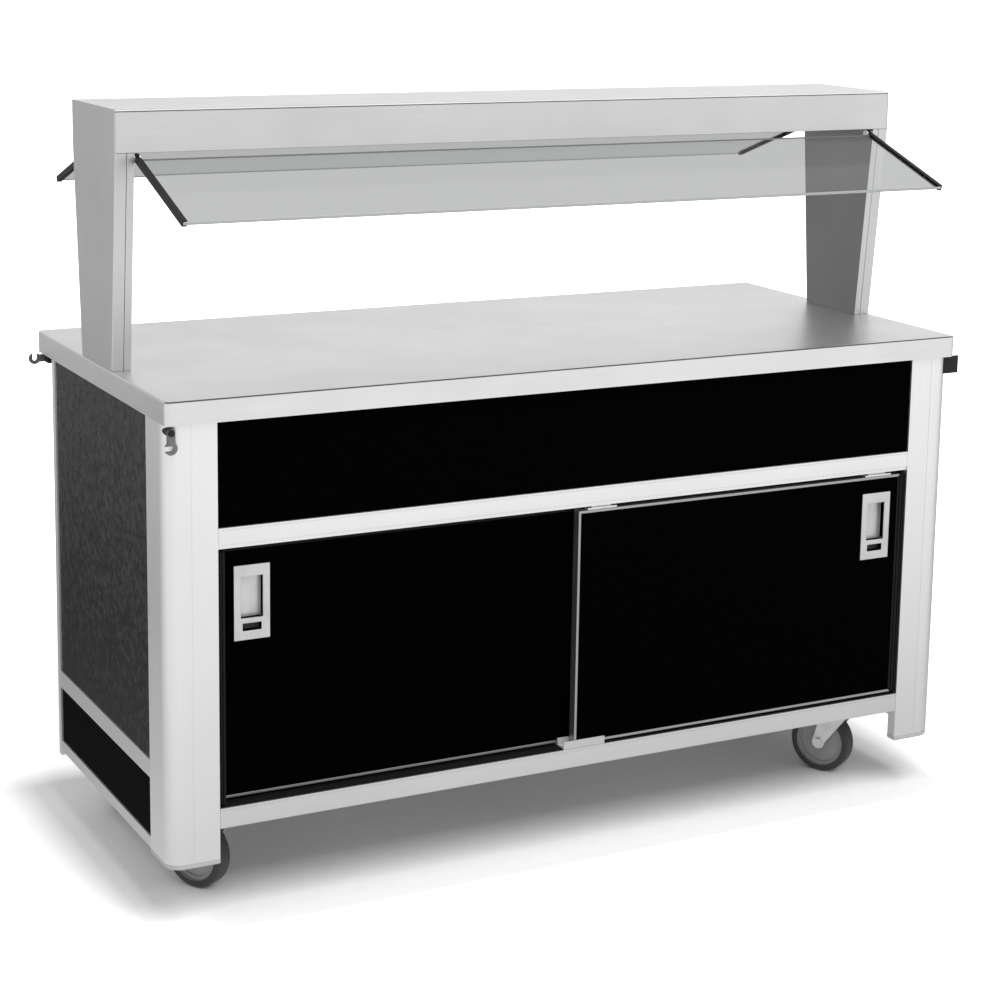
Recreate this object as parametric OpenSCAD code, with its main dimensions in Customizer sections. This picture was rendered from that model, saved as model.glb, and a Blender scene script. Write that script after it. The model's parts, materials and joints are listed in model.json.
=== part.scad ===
// Mobile serving counter: stainless top on a laminate and aluminium cabinet with
// two sliding doors, a canopy with hinged clear guards, and four swivel casters.
// Millimetres. X runs along the counter, -Y is the server's front, Z is up.

/* [Counter] */
// Length of the counter top
counter_l = 1600; // [1500:10:1700]
// Depth of the counter top
counter_d = 730; // [720:5:760]
// Height of the working surface
counter_h = 914; // [900:1:940]
// Height of the turned-down edge
turn_down = 40; // [38:1:46]
// Thickness of the top sheet
top_t = 2; // [1:0.5:3]
// Corner radius of the top
top_r = 12; // [6:1:20]
// Thickness of the wooden core
core_t = 18; // [15:1:20]
// Overhang past the front of the cabinet
over_front = 11; // [10:1:12]
// Overhang past the ends of the cabinet
over_end = 1.5; // [1.5:0.5:3]
// Overhang past the back of the cabinet
over_back = 88; // [80:1:95]
// Width of the channels below the core
channel_w = 60; // [50:1:64]

/* [Cabinet] */
// Front leg width of a front corner post
post_front_leg = 92; // [80:1:100]
// End leg width of a front corner post
post_end_leg = 94; // [80:1:110]
// Leg thickness of a front corner post
post_t = 23; // [22:0.5:24]
// Wall of the post extrusion
post_wall = 2.5; // [2:0.5:3.5]
// Outer corner radius of a front post
post_r = 30; // [20:1:34]
// Height of the foot of the posts
post_foot_z = 103; // [100:1:106]
// Visible thickness of a post cap
cap_t = 9; // [6:1:12]
// Leg width of a back post
back_leg = 60; // [50:1:70]
// Leg thickness of a back post
back_t = 15; // [12:1:18]
// Tube size of the upper frame
top_tube = 30; // [25:1:32]
// Tube size of the base frame
base_tube = 40; // [38:1:42]
// Wall of the frame tubes
tube_wall = 2; // [1.5:0.5:3]
// Height of the mid rail's lower edge
mid_rail_z = 662; // [640:1:680]
// Height of the mid rail
mid_rail_h = 29.5; // [28:0.5:34]
// Height of the bottom rail
bottom_rail_h = 36; // [32:1:40]
// Thickness of the laminate panels
panel_t = 19; // [18:1:20]
// Lower edge of the belt rail on the ends
belt_z = 240; // [220:1:260]
// Height of the belt rail
belt_h = 32; // [26:1:36]
// Lower edge of the end sill
sill_z = 113; // [108:1:116]
// Height of the end sill
sill_h = 20; // [16:1:24]
// Thickness of the back panels
back_panel_t = 10; // [8:1:12]

/* [Storage] */
// Thickness of the storage boards
board_t = 16; // [15:1:19]
// Height of the shelves above the cabinet floor
shelf_rise = 215; // [180:5:300]
// Thickness of the shelf standards
standard_t = 3; // [2:0.5:4]
// Width of the shelf standards
standard_w = 25; // [20:1:30]

/* [Doors] */
// Thickness of a door
door_t = 19; // [18:0.5:20]
// Distance between the two door lanes
lane_pitch = 24; // [23.5:0.5:26]
// Overlap of the doors at the middle
door_overlap = 40; // [30:1:60]
// Set-back of the front door's face
door_setback = 3; // [3:0.5:4]
// Gap between the mid rail and the door tops
door_top_gap = 14; // [13:1:16]
// Gap between the bottom rail and the doors
door_foot_gap = 6; // [6:1:9]
// Width of the rubber bumpers
bumper_w = 12.5; // [10:0.5:15]
// Visible width of the door edge trims
trim_w = 5; // [3:0.5:6]
// Width of a pull plate
pull_w = 65; // [60:1:75]
// Height of a pull plate
pull_h = 131; // [125:1:145]
// Lower edge of a pull above the door's foot
pull_z = 277; // [200:1:290]
// Distance from the door's outer edge to the pull
pull_edge = 22; // [18:1:40]
// Depth of a pull's recess
pull_depth = 12; // [9:0.5:13]

/* [Canopy] */
// Depth of the header
header_d = 238; // [220:1:260]
// Height of the header
header_h = 74; // [68:1:80]
// Underside of the header above the counter
canopy_rise = 379; // [340:1:420]
// Depth of a column where it meets the counter
column_foot_d = 168; // [155:1:180]
// Thickness of a column
column_t = 35; // [33:1:36]
// Sheet thickness of the canopy
sheet_t = 1.5; // [1.2:0.1:2]
// Flange of the inner column cover
cover_flange = 12; // [8:1:14]

/* [Guards] */
// Thickness of the clear guards
guard_t = 6; // [5:0.5:8]
// Length of a guard from pivot to free edge
guard_len = 251; // [220:1:280]
// Slope of a guard at rest
guard_slope = 19.4; // [12:0.1:25]
// Radius of a pivot stud
stud_r = 4; // [3:0.5:5]
// Width of the channels on the ends of the guards
arm_w = 9; // [8:0.5:12]

/* [Interlocks] */
// Length of a hook from pivot to tip
hook_len = 37; // [35:1:42]
// Thickness of a hook
hook_t = 4; // [3:0.5:4]
// Reach of the catches past the cabinet ends
catch_reach = 21.5; // [20:0.5:24]

/* [Casters] */
// Radius of a wheel
wheel_r = 62.5; // [60:0.5:64]
// Width of a wheel
wheel_w = 32; // [28:1:34]
// Height of the mounting face
caster_h = 162; // [158:1:166]
// Offset between swivel and axle
caster_offset = 38; // [34:1:40]
// Distance from the frame's ends to the swivels
caster_in = 105.5; // [103.5:0.5:107.5]
// Angle that the casters trail at
caster_turn = 120; // [100:5:140]

/* [Hidden] */
fine = 48;
mid = 32;
small = 20;
hex = 6;
seat = 0.3;
run_fit = 0.05;
cut = 1;

end_x = counter_l / 2 - over_end;
front_y = over_front - counter_d / 2;
back_y = counter_d / 2 - over_back;
body_top = counter_h - turn_down;
core_z = counter_h - top_t - core_t;
post_in_x = end_x - post_front_leg;
frame_x = end_x - post_t;
frame_y = front_y + post_t;
end_leg_y = front_y + post_end_leg;
back_in_y = back_y - back_t;
post_z = post_foot_z + cap_t;
base_top = caster_h + base_tube;
top_frame_z = body_top - top_tube;
mid_rail_top = mid_rail_z + mid_rail_h;
rail_wall = 3;
channel_in = 13;
channel_x = counter_l / 2 - 2 * top_t - channel_w / 2;
channel_y = counter_d / 2 - top_t - channel_in;

lane_front = front_y + door_setback + door_t / 2;
lane_back = lane_front + lane_pitch;
door_z = base_top + door_foot_gap;
door_top = mid_rail_z - door_top_gap;
door_side_gap = 2;
door_end_x = post_in_x - bumper_w - door_side_gap;
groove_t = 3;
groove_d = 8;

track_wall = 2;
track_gap = 7;
track_z = door_top + track_gap;
track_top = mid_rail_top - rail_wall;
lane_half = 8;
slot_half = 3;
track_y0 = front_y + rail_wall;
track_y1 = lane_back + lane_half + track_wall;
guide_edge = 6;
guide_back = lane_back + door_t / 2 + guide_edge;
shelf_y0 = guide_back + cut;
floor_top = base_top + board_t;
shelf_z = floor_top + shelf_rise;
store_side_gap = 17;
store_back_gap = 8;
store_x = frame_x - store_side_gap;
store_y1 = back_in_y - store_back_gap;

header_z = counter_h + canopy_rise;
canopy_top = header_z + header_h;
column_x = end_x - column_t;
column_split = column_x + cover_flange + sheet_t;
upright_gap_in = 3;
upright_gap_out = 4;
upright_x0 = column_x + sheet_t + upright_gap_in;
upright_x1 = end_x - sheet_t - upright_gap_out;
upright_half = 30;
foot_plate_t = 5;
foot_plate_lap = 16;
canopy_bolt_y = 55;
canopy_bolt_x = (upright_x0 + upright_x1) / 2;
canopy_bolt_r = 4;
canopy_head_h = 5;
canopy_head_r = 7;
cross_gap = 8;
cross_z = header_z + cross_gap;
cross_h = 25;

pivot_in = 9;
pivot_drop = 9;
pivot_y = header_d / 2 - pivot_in;
pivot_z = header_z - pivot_drop;
arm_out_x = column_x - seat - sheet_t;
arm_in_x = arm_out_x - arm_w;
arm_wall = 2.5;
arm_half = guard_t / 2 + arm_wall;
eye_w = 7;
eye_in_x = arm_out_x - eye_w - seat;
eye_wall = 3.5;
eye_r = stud_r + eye_wall;
guard_start = 12;
channel_t = 2;
stud_head_t = 3;
stud_head_r = stud_r + stud_head_t;
stud_nut_t = 4;
stud_nut_r = stud_r + 2;

hook_half = 7;
hook_end_r = 11;
hook_in = 9.5;
hook_ahead = 4;
hook_back_ahead = 11;
hook_x = end_x - hook_in;
hook_z = body_top - hook_end_r - 1;
hook_y = front_y - hook_t - hook_ahead;
hook_pin_r = 3;
hook_head_t = 2.5;
hook_head_r = 6;
hook_nut_t = 4;
hook_nut_r = 5.5;
hook_bracket_d = 22;
hook_bracket_w = 14;
hook_back_x = end_x + catch_reach - hook_len;
hook_back_y = counter_d / 2 - top_t - hook_back_ahead;
catch_w = 24;
catch_h = 34;
catch_z = body_top - 2 - catch_h;
catch_pin_r = 4;
catch_cheek = 4;
catch_front_y = front_y + catch_cheek;
catch_back_y = channel_y - catch_w;
catch_strap_l = 40;
catch_strap_t = 5;

caster_front_in = 106;
caster_back_in = 114;
caster_x = frame_x - caster_in;
caster_front_y = frame_y + caster_front_in;
caster_back_y = back_in_y - caster_back_in;
caster_plate_t = 4;
caster_plate_l = 105;
caster_plate_w = 85;
caster_bolt_x = 40;
caster_bolt_y = 30;
caster_bolt_r = 4;
kingpin_r = 6;
fork_t = 3;
fork_half = wheel_w / 2 + 3;
fork_out = fork_half + fork_t;
crown_gap = 16;
pedal_gap = 8;
crown_z = 2 * wheel_r + crown_gap;
crown_t = 5;
race_r = 27;
axle_r = 6;
kingpin_grip = 9;
kingpin_drop = 14;
kingpin_head_r = 11;
caster_head_h = 5;
caster_nut_h = 4;
caster_head_r = caster_bolt_r + 2.5;
axle_head_h = 5;
axle_head_r = 10;
wheel_hub_r = 44;
pedal_u = 28;
pedal_z = 2 * wheel_r + pedal_gap;
pedal_pin_r = 2.5;

steel = [0.78, 0.79, 0.8];
alloy = [0.86, 0.86, 0.87];
black = [0.06, 0.06, 0.065];
rubber = [0.12, 0.12, 0.12];
clear = [0.75, 0.85, 0.88, 0.4];
pale = [0.75, 0.7, 0.6];
grey = [0.55, 0.56, 0.58];

module block(x0, x1, y0, y1, z0, z1) {
    translate([x0, y0, z0]) cube([x1 - x0, y1 - y0, z1 - z0]);
}

module along_x(x0, x1) {
    translate([x0, 0, 0]) rotate([90, 0, 90]) linear_extrude(x1 - x0) children();
}

module rod_x(x0, x1, y, z, r, n) {
    translate([x0, y, z]) rotate([0, 90, 0]) cylinder(h = x1 - x0, r = r, $fn = n);
}

module rod_y(y0, y1, x, z, r, n) {
    translate([x, y0, z]) rotate([-90, 0, 0]) cylinder(h = y1 - y0, r = r, $fn = n);
}

module rod_z(z0, z1, x, y, r, n) {
    translate([x, y, z0]) cylinder(h = z1 - z0, r = r, $fn = n);
}

module both() {
    children();
    mirror([1, 0, 0]) children();
}

module four() {
    both() children();
    mirror([0, 1, 0]) both() children();
}

module rounded(l, d, r) {
    square([l - 2 * r, d], center = true);
    square([l, d - 2 * r], center = true);
    for (sx = [-1, 1], sy = [-1, 1]) {
        translate([sx * (l / 2 - r), sy * (d / 2 - r)]) circle(r, $fn = mid);
    }
}

// Counter

module canopy_holes(z0, z1) {
    four() rod_z(z0, z1, canopy_bolt_x, canopy_bolt_y, canopy_bolt_r + seat, small);
}

module countertop() color(steel) difference() {
    translate([0, 0, body_top]) linear_extrude(turn_down) rounded(counter_l, counter_d, top_r);
    translate([0, 0, body_top - cut]) linear_extrude(turn_down - top_t + cut)
        rounded(counter_l - 2 * top_t, counter_d - 2 * top_t, top_r - top_t);
    canopy_holes(body_top, counter_h + cut);
}

module counter_core() color(pale) difference() {
    translate([0, 0, core_z]) linear_extrude(core_t)
        rounded(counter_l - 2 * top_t - 2 * seat, counter_d - 2 * top_t - 2 * seat,
            top_r - top_t - seat);
    canopy_holes(core_z - cut, counter_h);
}

module counter_channel(x) difference() {
    block(x - channel_w / 2, x + channel_w / 2, -channel_y, channel_y, body_top, core_z);
    block(x - channel_w / 2 + tube_wall, x + channel_w / 2 - tube_wall,
        -channel_y - cut, channel_y + cut, body_top + tube_wall, core_z - tube_wall);
}

module counter_channels() color(grey) difference() {
    union() {
        counter_channel(0);
        both() counter_channel(channel_x / 2);
        both() counter_channel(channel_x);
    }
    canopy_holes(core_z - 2 * tube_wall, core_z + cut);
}

// Frame

module ring(z0, size) difference() {
    union() {
        block(-frame_x, frame_x, frame_y, frame_y + size, z0, z0 + size);
        block(-frame_x, frame_x, back_in_y - size, back_in_y, z0, z0 + size);
        both() block(frame_x - size, frame_x, frame_y, back_in_y, z0, z0 + size);
        block(-size / 2, size / 2, frame_y, back_in_y, z0, z0 + size);
    }
    for (y = [frame_y, back_in_y - size]) {
        block(-frame_x - cut, frame_x + cut, y + tube_wall, y + size - tube_wall,
            z0 + tube_wall, z0 + size - tube_wall);
    }
    for (x = [-frame_x, -size / 2, frame_x - size]) {
        block(x + tube_wall, x + size - tube_wall, frame_y + tube_wall,
            back_in_y - tube_wall, z0 + tube_wall, z0 + size - tube_wall);
    }
}

module upper_frame() color(grey) ring(top_frame_z, top_tube);

caster_pad_t = 6;
caster_pad_x = 70;
caster_pad_y = 62;

module caster_pad(y) difference() {
    block(caster_x - caster_pad_x, frame_x - base_tube + cut, y - caster_pad_y, y + caster_pad_y,
        caster_h, caster_h + caster_pad_t);
    for (sx = [-1, 1], sy = [-1, 1]) {
        rod_z(caster_h - cut, caster_h + caster_pad_t + cut, caster_x + sx * caster_bolt_x,
            y + sy * caster_bolt_y, caster_bolt_r + seat, small);
    }
}

module base_frame() color(grey) {
    ring(caster_h, base_tube);
    both() block(caster_x - caster_pad_x - base_tube, caster_x - caster_pad_x,
        frame_y + base_tube - cut, back_in_y - base_tube + cut, caster_h, base_top);
    both() caster_pad(caster_front_y);
    both() caster_pad(caster_back_y);
}

// Posts

module post_section(grow) difference() {
    union() {
        translate([post_in_x, front_y - grow]) square([post_front_leg + grow, post_t + grow]);
        translate([frame_x, front_y - grow]) square([post_t + grow, post_end_leg + grow]);
    }
    difference() {
        translate([end_x - post_r, front_y - grow - cut])
            square([post_r + grow + cut, post_r + grow + cut]);
        translate([end_x - post_r, front_y + post_r]) circle(post_r + grow, $fn = fine);
    }
}

module post_bores() {
    translate([post_in_x + post_wall, front_y + post_wall])
        square([frame_x - post_in_x - 2 * post_wall, post_t - 2 * post_wall]);
    translate([frame_x + post_wall, frame_y + post_wall])
        square([post_t - 2 * post_wall, post_end_leg - post_t - 2 * post_wall]);
}

module front_post() difference() {
    translate([0, 0, post_z]) linear_extrude(body_top - post_z) difference() {
        post_section(0);
        post_bores();
    }
    rod_y(front_y - cut, frame_y + post_wall + cut, hook_x, hook_z, hook_pin_r + seat,
        small);
}

module front_post_left() color(alloy) mirror([1, 0, 0]) front_post();
module front_post_right() color(alloy) front_post();

back_core_w = 12;
back_core_d = 50;

module back_post() {
    block(end_x - back_leg, end_x, back_in_y, back_y, post_foot_z, body_top);
    block(frame_x - back_core_w, frame_x, back_in_y - back_core_d, back_in_y,
        base_top, top_frame_z);
}

module back_posts() color(alloy) both() back_post();

cap_plug_h = 15;

module post_cap() {
    translate([0, 0, post_foot_z]) linear_extrude(cap_t) post_section(0);
    block(post_in_x + post_wall + seat, frame_x - post_wall - seat,
        front_y + post_wall + seat, frame_y - post_wall - seat, post_z, post_z + cap_plug_h);
}

module post_caps() color(rubber) both() post_cap();

// Front rails and panels

module mid_rail_front() color(alloy) {
    block(-post_in_x, post_in_x, front_y, front_y + rail_wall, mid_rail_z, mid_rail_top);
    block(-post_in_x, post_in_x, front_y, track_y1 + rail_wall, track_top, mid_rail_top);
}

module bottom_rail_front() color(alloy) difference() {
    block(-post_in_x, post_in_x, front_y, frame_y, base_top - bottom_rail_h, base_top);
    block(-post_in_x - cut, post_in_x + cut, front_y + rail_wall, frame_y - rail_wall,
        base_top - bottom_rail_h + rail_wall, base_top - rail_wall);
}

module upper_panel_front() color(black) {
    block(-post_in_x, post_in_x, frame_y - panel_t, frame_y, mid_rail_top, body_top);
}

// Ends

module end_panel() {
    block(frame_x, frame_x + panel_t, end_leg_y, back_in_y, belt_z + belt_h, body_top);
}

module end_panel_left() color(black) mirror([1, 0, 0]) end_panel();
module end_panel_right() color(black) end_panel();

module skirt_panels() color(black) both() {
    block(frame_x, frame_x + panel_t, end_leg_y, back_in_y, sill_z + sill_h, belt_z);
}

module end_rail(z, h) difference() {
    block(frame_x, end_x, end_leg_y, back_in_y, z, z + h);
    block(frame_x + rail_wall, end_x - rail_wall, end_leg_y - cut, back_in_y + cut,
        z + rail_wall, z + h - rail_wall);
}

module end_rails() color(alloy) both() {
    end_rail(belt_z, belt_h);
    end_rail(sill_z, sill_h);
}

// Back

back_in_x = end_x - back_leg;

module back_panels() color(black) {
    block(-back_in_x, back_in_x, back_in_y, back_in_y + back_panel_t, mid_rail_top, body_top);
    block(-back_in_x, back_in_x, back_in_y, back_in_y + back_panel_t, base_top, mid_rail_z);
}

module back_rails() color(alloy) {
    block(-back_in_x, back_in_x, back_in_y, back_y, mid_rail_z, mid_rail_top);
    block(-back_in_x, back_in_x, back_in_y, back_y, base_top - bottom_rail_h, base_top);
}

// Storage

module storage_floor() color(pale) {
    block(-store_x, store_x, shelf_y0, store_y1, base_top, floor_top);
}

module storage_divider() color(pale) {
    block(-board_t / 2, board_t / 2, shelf_y0, store_y1, floor_top, top_frame_z);
}

module storage_shelves() color(pale) both() {
    block(board_t / 2, store_x, shelf_y0, store_y1, shelf_z, shelf_z + board_t);
}

standard_front_y = -190;
standard_back_y = 150;
bracket_h = 22;
bracket_root = 10;

module shelf_standard(y) {
    block(frame_x - standard_t, frame_x, y - standard_w / 2, y + standard_w / 2,
        belt_z + belt_h, top_frame_z);
    block(store_x - bracket_h, frame_x - standard_t, y - standard_t, y + standard_t,
        shelf_z - standard_t, shelf_z);
    block(frame_x - standard_t - bracket_root, frame_x - standard_t, y - standard_t, y + standard_t,
        shelf_z - bracket_h, shelf_z - standard_t);
}

module shelf_standards() color(steel) both() {
    shelf_standard(standard_front_y);
    shelf_standard(standard_back_y);
}

// Fixed door hardware

module track_lane(y) {
    translate([y - lane_half, track_z + track_wall])
        square([2 * lane_half, track_top - track_z - 2 * track_wall]);
    translate([y - slot_half, track_z - cut]) square([2 * slot_half, track_wall + 2 * cut]);
}

module door_track() color(alloy) {
    along_x(-post_in_x + seat, post_in_x - seat) difference() {
        translate([track_y0, track_z]) square([track_y1 - track_y0, track_top - track_z]);
        track_lane(lane_front);
        track_lane(lane_back);
    }
}

guide_half = 43;
guide_rise = 15;
guide_plate_t = 4;
sill_strip_t = 2;
fin_clear = 0.4;

module guide_fin(y0, y1) {
    block(-guide_half, guide_half, y0, y1, base_top, base_top + guide_rise);
}

module door_guide() color(black) {
    block(-post_in_x + seat, post_in_x - seat, front_y + rail_wall, guide_back,
        base_top, base_top + sill_strip_t);
    block(-guide_half, guide_half, front_y, guide_back, base_top, base_top + guide_plate_t);
    guide_fin(front_y, lane_front - door_t / 2 - fin_clear);
    guide_fin(lane_front + door_t / 2 + fin_clear, lane_back - door_t / 2 - fin_clear);
    guide_fin(lane_back + door_t / 2 + fin_clear, guide_back);
}

bumper_lap = 14;

module door_bumpers() color(rubber) both() {
    block(post_in_x - bumper_w, post_in_x, lane_front - door_t / 2, frame_y,
        door_z, door_top);
    block(post_in_x - bumper_w, post_in_x + bumper_lap, frame_y, lane_back + door_t / 2,
        door_z, door_top);
}

// Doors

pocket_w = 40;
pocket_h = 73;
pocket_drop = 20;
latch_w = 34;
latch_h = 13;
latch_drop = 102;
pan_wall = 1.2;
pull_t = 1.5;

pull_x1 = door_end_x - pull_edge;
pull_x0 = pull_x1 - pull_w;
pull_z0 = door_z + pull_z;
pull_z1 = pull_z0 + pull_h;
pull_mid = (pull_x0 + pull_x1) / 2;

module recess(lane, w, h, drop, depth, grow, ahead) {
    block(pull_mid - w / 2 - grow, pull_mid + w / 2 + grow, lane - door_t / 2 - ahead,
        lane - door_t / 2 + depth + grow, pull_z1 - drop - h - grow, pull_z1 - drop + grow);
}

// A flat frame round the door's edge, between two distances in from that edge
module door_rim(lane, t, in0, in1) difference() {
    block(in0 - door_overlap / 2, door_end_x - in0, lane - t / 2, lane + t / 2,
        door_z + in0, door_top - in0);
    block(in1 - door_overlap / 2, door_end_x - in1, lane - t, lane + t,
        door_z + in1, door_top - in1);
}

module door_board(lane) difference() {
    block(trim_w - door_overlap / 2, door_end_x - trim_w, lane - door_t / 2,
        lane + door_t / 2, door_z + trim_w, door_top - trim_w);
    door_rim(lane, groove_t, trim_w - cut, trim_w + groove_d + seat);
    recess(lane, pocket_w, pocket_h, pocket_drop, pull_depth, pan_wall + seat, cut);
    recess(lane, latch_w, latch_h, latch_drop, pull_depth, pan_wall + seat, cut);
}

module door_trim(lane) {
    door_rim(lane, door_t, 0, trim_w);
    door_rim(lane, groove_t, trim_w - cut, trim_w + groove_d);
}

module door_pull(lane) difference() {
    union() {
        block(pull_x0, pull_x1, lane - door_t / 2 - pull_t, lane - door_t / 2,
            pull_z0, pull_z1);
        recess(lane, pocket_w, pocket_h, pocket_drop, pull_depth, pan_wall, pull_t / 2);
        recess(lane, latch_w, latch_h, latch_drop, pull_depth, pan_wall, pull_t / 2);
    }
    recess(lane, pocket_w, pocket_h, pocket_drop, pull_depth, 0, pull_t + cut);
    recess(lane, latch_w, latch_h, latch_drop, pull_depth, 0, pull_t + cut);
}

hanger_l = 60;
blade_half = 2;
shoe_half = 7;
shoe_t = 3;
runner_z = track_z + track_wall;
runner_h = 12;
hanger_in = 50;

module hanger(lane, x) {
    block(x - hanger_l / 2, x + hanger_l / 2, lane - shoe_half, lane + shoe_half,
        door_top, door_top + shoe_t);
    block(x - hanger_l / 3, x + hanger_l / 3, lane - blade_half, lane + blade_half,
        door_top + shoe_t, runner_z + runner_h);
    block(x - hanger_l / 2, x + hanger_l / 2, lane + blade_half, lane + shoe_half,
        runner_z + seat, runner_z + runner_h);
    block(x - hanger_l / 2, x + hanger_l / 2, lane - shoe_half, lane - blade_half,
        runner_z + seat, runner_z + runner_h);
}

module hangers(lane) {
    hanger(lane, door_end_x - hanger_in);
    hanger(lane, hanger_in - door_overlap / 2);
}

module door_right() color(black) door_board(lane_front);
module door_left() color(black) mirror([1, 0, 0]) door_board(lane_back);
module door_right_trim() color(alloy) door_trim(lane_front);
module door_left_trim() color(alloy) mirror([1, 0, 0]) door_trim(lane_back);
module door_right_pull() color(steel) door_pull(lane_front);
module door_left_pull() color(steel) mirror([1, 0, 0]) door_pull(lane_back);
module door_right_hangers() color(grey) hangers(lane_front);
module door_left_hangers() color(grey) mirror([1, 0, 0]) hangers(lane_back);

// Canopy

module column_section(inset) {
    polygon([
        [inset - column_foot_d / 2, counter_h], [column_foot_d / 2 - inset, counter_h],
        [header_d / 2 - inset, header_z], [inset - header_d / 2, header_z]
    ]);
}

module column_case() {
    difference() {
        along_x(column_split + seat, end_x) column_section(0);
        along_x(column_split, end_x - sheet_t) column_section(sheet_t);
    }
    block(end_x - sheet_t, end_x, -header_d / 2, header_d / 2, header_z, canopy_top);
}

module column_cover() difference() {
    along_x(column_x, column_split) column_section(0);
    along_x(column_x + sheet_t, column_split + cut) column_section(sheet_t);
    for (s = [-1, 1]) {
        rod_x(column_x - cut, column_x + sheet_t + cut, s * pivot_y, pivot_z,
            stud_r + seat, mid);
    }
}

module column_left() color(steel) mirror([1, 0, 0]) column_case();
module column_right() color(steel) column_case();
module column_cover_left() color(steel) mirror([1, 0, 0]) column_cover();
module column_cover_right() color(steel) column_cover();

module canopy_post() {
    difference() {
        block(upright_x0, upright_x1, -upright_half, upright_half,
            counter_h + foot_plate_t, cross_z + cross_h);
        block(upright_x0 + tube_wall, upright_x1 - tube_wall, tube_wall - upright_half,
            upright_half - tube_wall, counter_h + foot_plate_t - cut,
            cross_z + cross_h + cut);
    }
    difference() {
        block(upright_x0, upright_x1, -canopy_bolt_y - foot_plate_lap, canopy_bolt_y + foot_plate_lap,
            counter_h, counter_h + foot_plate_t);
        for (s = [-1, 1]) {
            rod_z(counter_h - cut, counter_h + foot_plate_t + cut, canopy_bolt_x,
                s * canopy_bolt_y, canopy_bolt_r + seat, small);
        }
    }
}

module canopy_bolt(y) {
    rod_z(core_z - 3 * tube_wall, counter_h + foot_plate_t + cut, canopy_bolt_x, y,
        canopy_bolt_r, small);
    rod_z(counter_h + foot_plate_t + seat, counter_h + foot_plate_t + seat + canopy_head_h,
        canopy_bolt_x, y, canopy_head_r, hex);
}

module canopy_frame() color(grey) {
    both() canopy_post();
    difference() {
        block(-upright_x0, upright_x0, -upright_half, upright_half,
            cross_z, cross_z + cross_h);
        block(-upright_x0 - cut, upright_x0 + cut, tube_wall - upright_half,
            upright_half - tube_wall, cross_z + tube_wall, cross_z + cross_h - tube_wall);
    }
    both() canopy_bolt(canopy_bolt_y);
    both() canopy_bolt(-canopy_bolt_y);
}

lid_lip = 4;
shell_top = canopy_top - lid_lip - seat;

module header_shell() color(steel) difference() {
    block(sheet_t + seat - end_x, end_x - sheet_t - seat, -header_d / 2, header_d / 2,
        header_z, shell_top);
    block(2 * sheet_t + seat - end_x, end_x - 2 * sheet_t - seat, sheet_t - header_d / 2,
        header_d / 2 - sheet_t, header_z + sheet_t, shell_top + cut);
    both() block(upright_x0 - seat, upright_x1 + seat, -upright_half - seat,
        upright_half + seat, header_z - cut, header_z + sheet_t + cut);
}

module header_lid() color(steel) difference() {
    block(sheet_t + seat - end_x, end_x - sheet_t - seat, -header_d / 2, header_d / 2,
        shell_top + seat, canopy_top);
    block(2 * sheet_t + seat - end_x, end_x - 2 * sheet_t - seat, sheet_t - header_d / 2,
        header_d / 2 - sheet_t, shell_top, canopy_top - sheet_t);
}

// Guards: front and back are the same, swung about the studs

module guard_place() {
    translate([0, -pivot_y, pivot_z]) rotate([guard_slope, 0, 0]) children();
}

module guard_glass() guard_place() {
    block(channel_t - arm_out_x, arm_out_x - channel_t, -guard_len, -guard_start,
        -guard_t / 2, guard_t / 2);
}

module guard_arm() guard_place() difference() {
    union() {
        block(arm_in_x, arm_out_x, -guard_len, -guard_start, -arm_half, arm_half);
        block(arm_out_x - eye_w, arm_out_x, -guard_start - cut, 0, -arm_half, arm_half);
        rod_x(arm_out_x - eye_w, arm_out_x, 0, 0, eye_r, mid);
    }
    block(arm_in_x - cut, arm_out_x - channel_t, -guard_len - cut, -guard_start,
        -guard_t / 2, guard_t / 2);
    rod_x(arm_in_x - cut, arm_out_x + cut, 0, 0, stud_r + run_fit, mid);
}

module guard_stud() {
    rod_x(eye_in_x - stud_head_t, column_x + sheet_t + stud_nut_t + 2 * cut,
        -pivot_y, pivot_z, stud_r, mid);
    rod_x(eye_in_x - stud_head_t, eye_in_x, -pivot_y, pivot_z, stud_head_r, mid);
    rod_x(arm_out_x + seat, column_x, -pivot_y, pivot_z, stud_head_r, mid);
    rod_x(column_x + sheet_t, column_x + sheet_t + stud_nut_t, -pivot_y, pivot_z,
        stud_nut_r, hex);
}

module guard_glass_front() color(clear) guard_glass();
module guard_glass_back() color(clear) mirror([0, 1, 0]) guard_glass();
module guard_arms_front() color(alloy) both() guard_arm();
module guard_arms_back() color(alloy) mirror([0, 1, 0]) both() guard_arm();
module guard_pivots() color(steel) four() guard_stud();

// Interlocks: hooks on the left end, catches on the right end

hook_mouth_r = catch_pin_r + seat;

module hook_blade() difference() {
    union() {
        rod_y(-hook_t / 2, hook_t / 2, 0, 0, hook_half, mid);
        block(-hook_half, hook_half, -hook_t / 2, hook_t / 2, hook_end_r - hook_len, 0);
        rod_y(-hook_t / 2, hook_t / 2, 0, hook_end_r - hook_len, hook_end_r, mid);
    }
    rod_y(-hook_t, hook_t, 0, 0, hook_pin_r + run_fit, mid);
    rod_y(-hook_t, hook_t, 0, hook_end_r - hook_len, hook_mouth_r, mid);
    block(-hook_end_r - cut, 0, -hook_t, hook_t, hook_end_r - hook_len - hook_mouth_r,
        hook_end_r - hook_len + hook_mouth_r);
}

module hook_front() color(steel) {
    translate([-hook_x, hook_y + hook_t / 2, hook_z]) hook_blade();
}

module hook_back() color(steel) {
    translate([-hook_back_x, hook_back_y + hook_t / 2, hook_z]) rotate([0, 90, 0])
        hook_blade();
}

module post_clearance() translate([0, 0, catch_z - cut])
    linear_extrude(body_top - catch_z + 2 * cut) post_section(seat);

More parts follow.
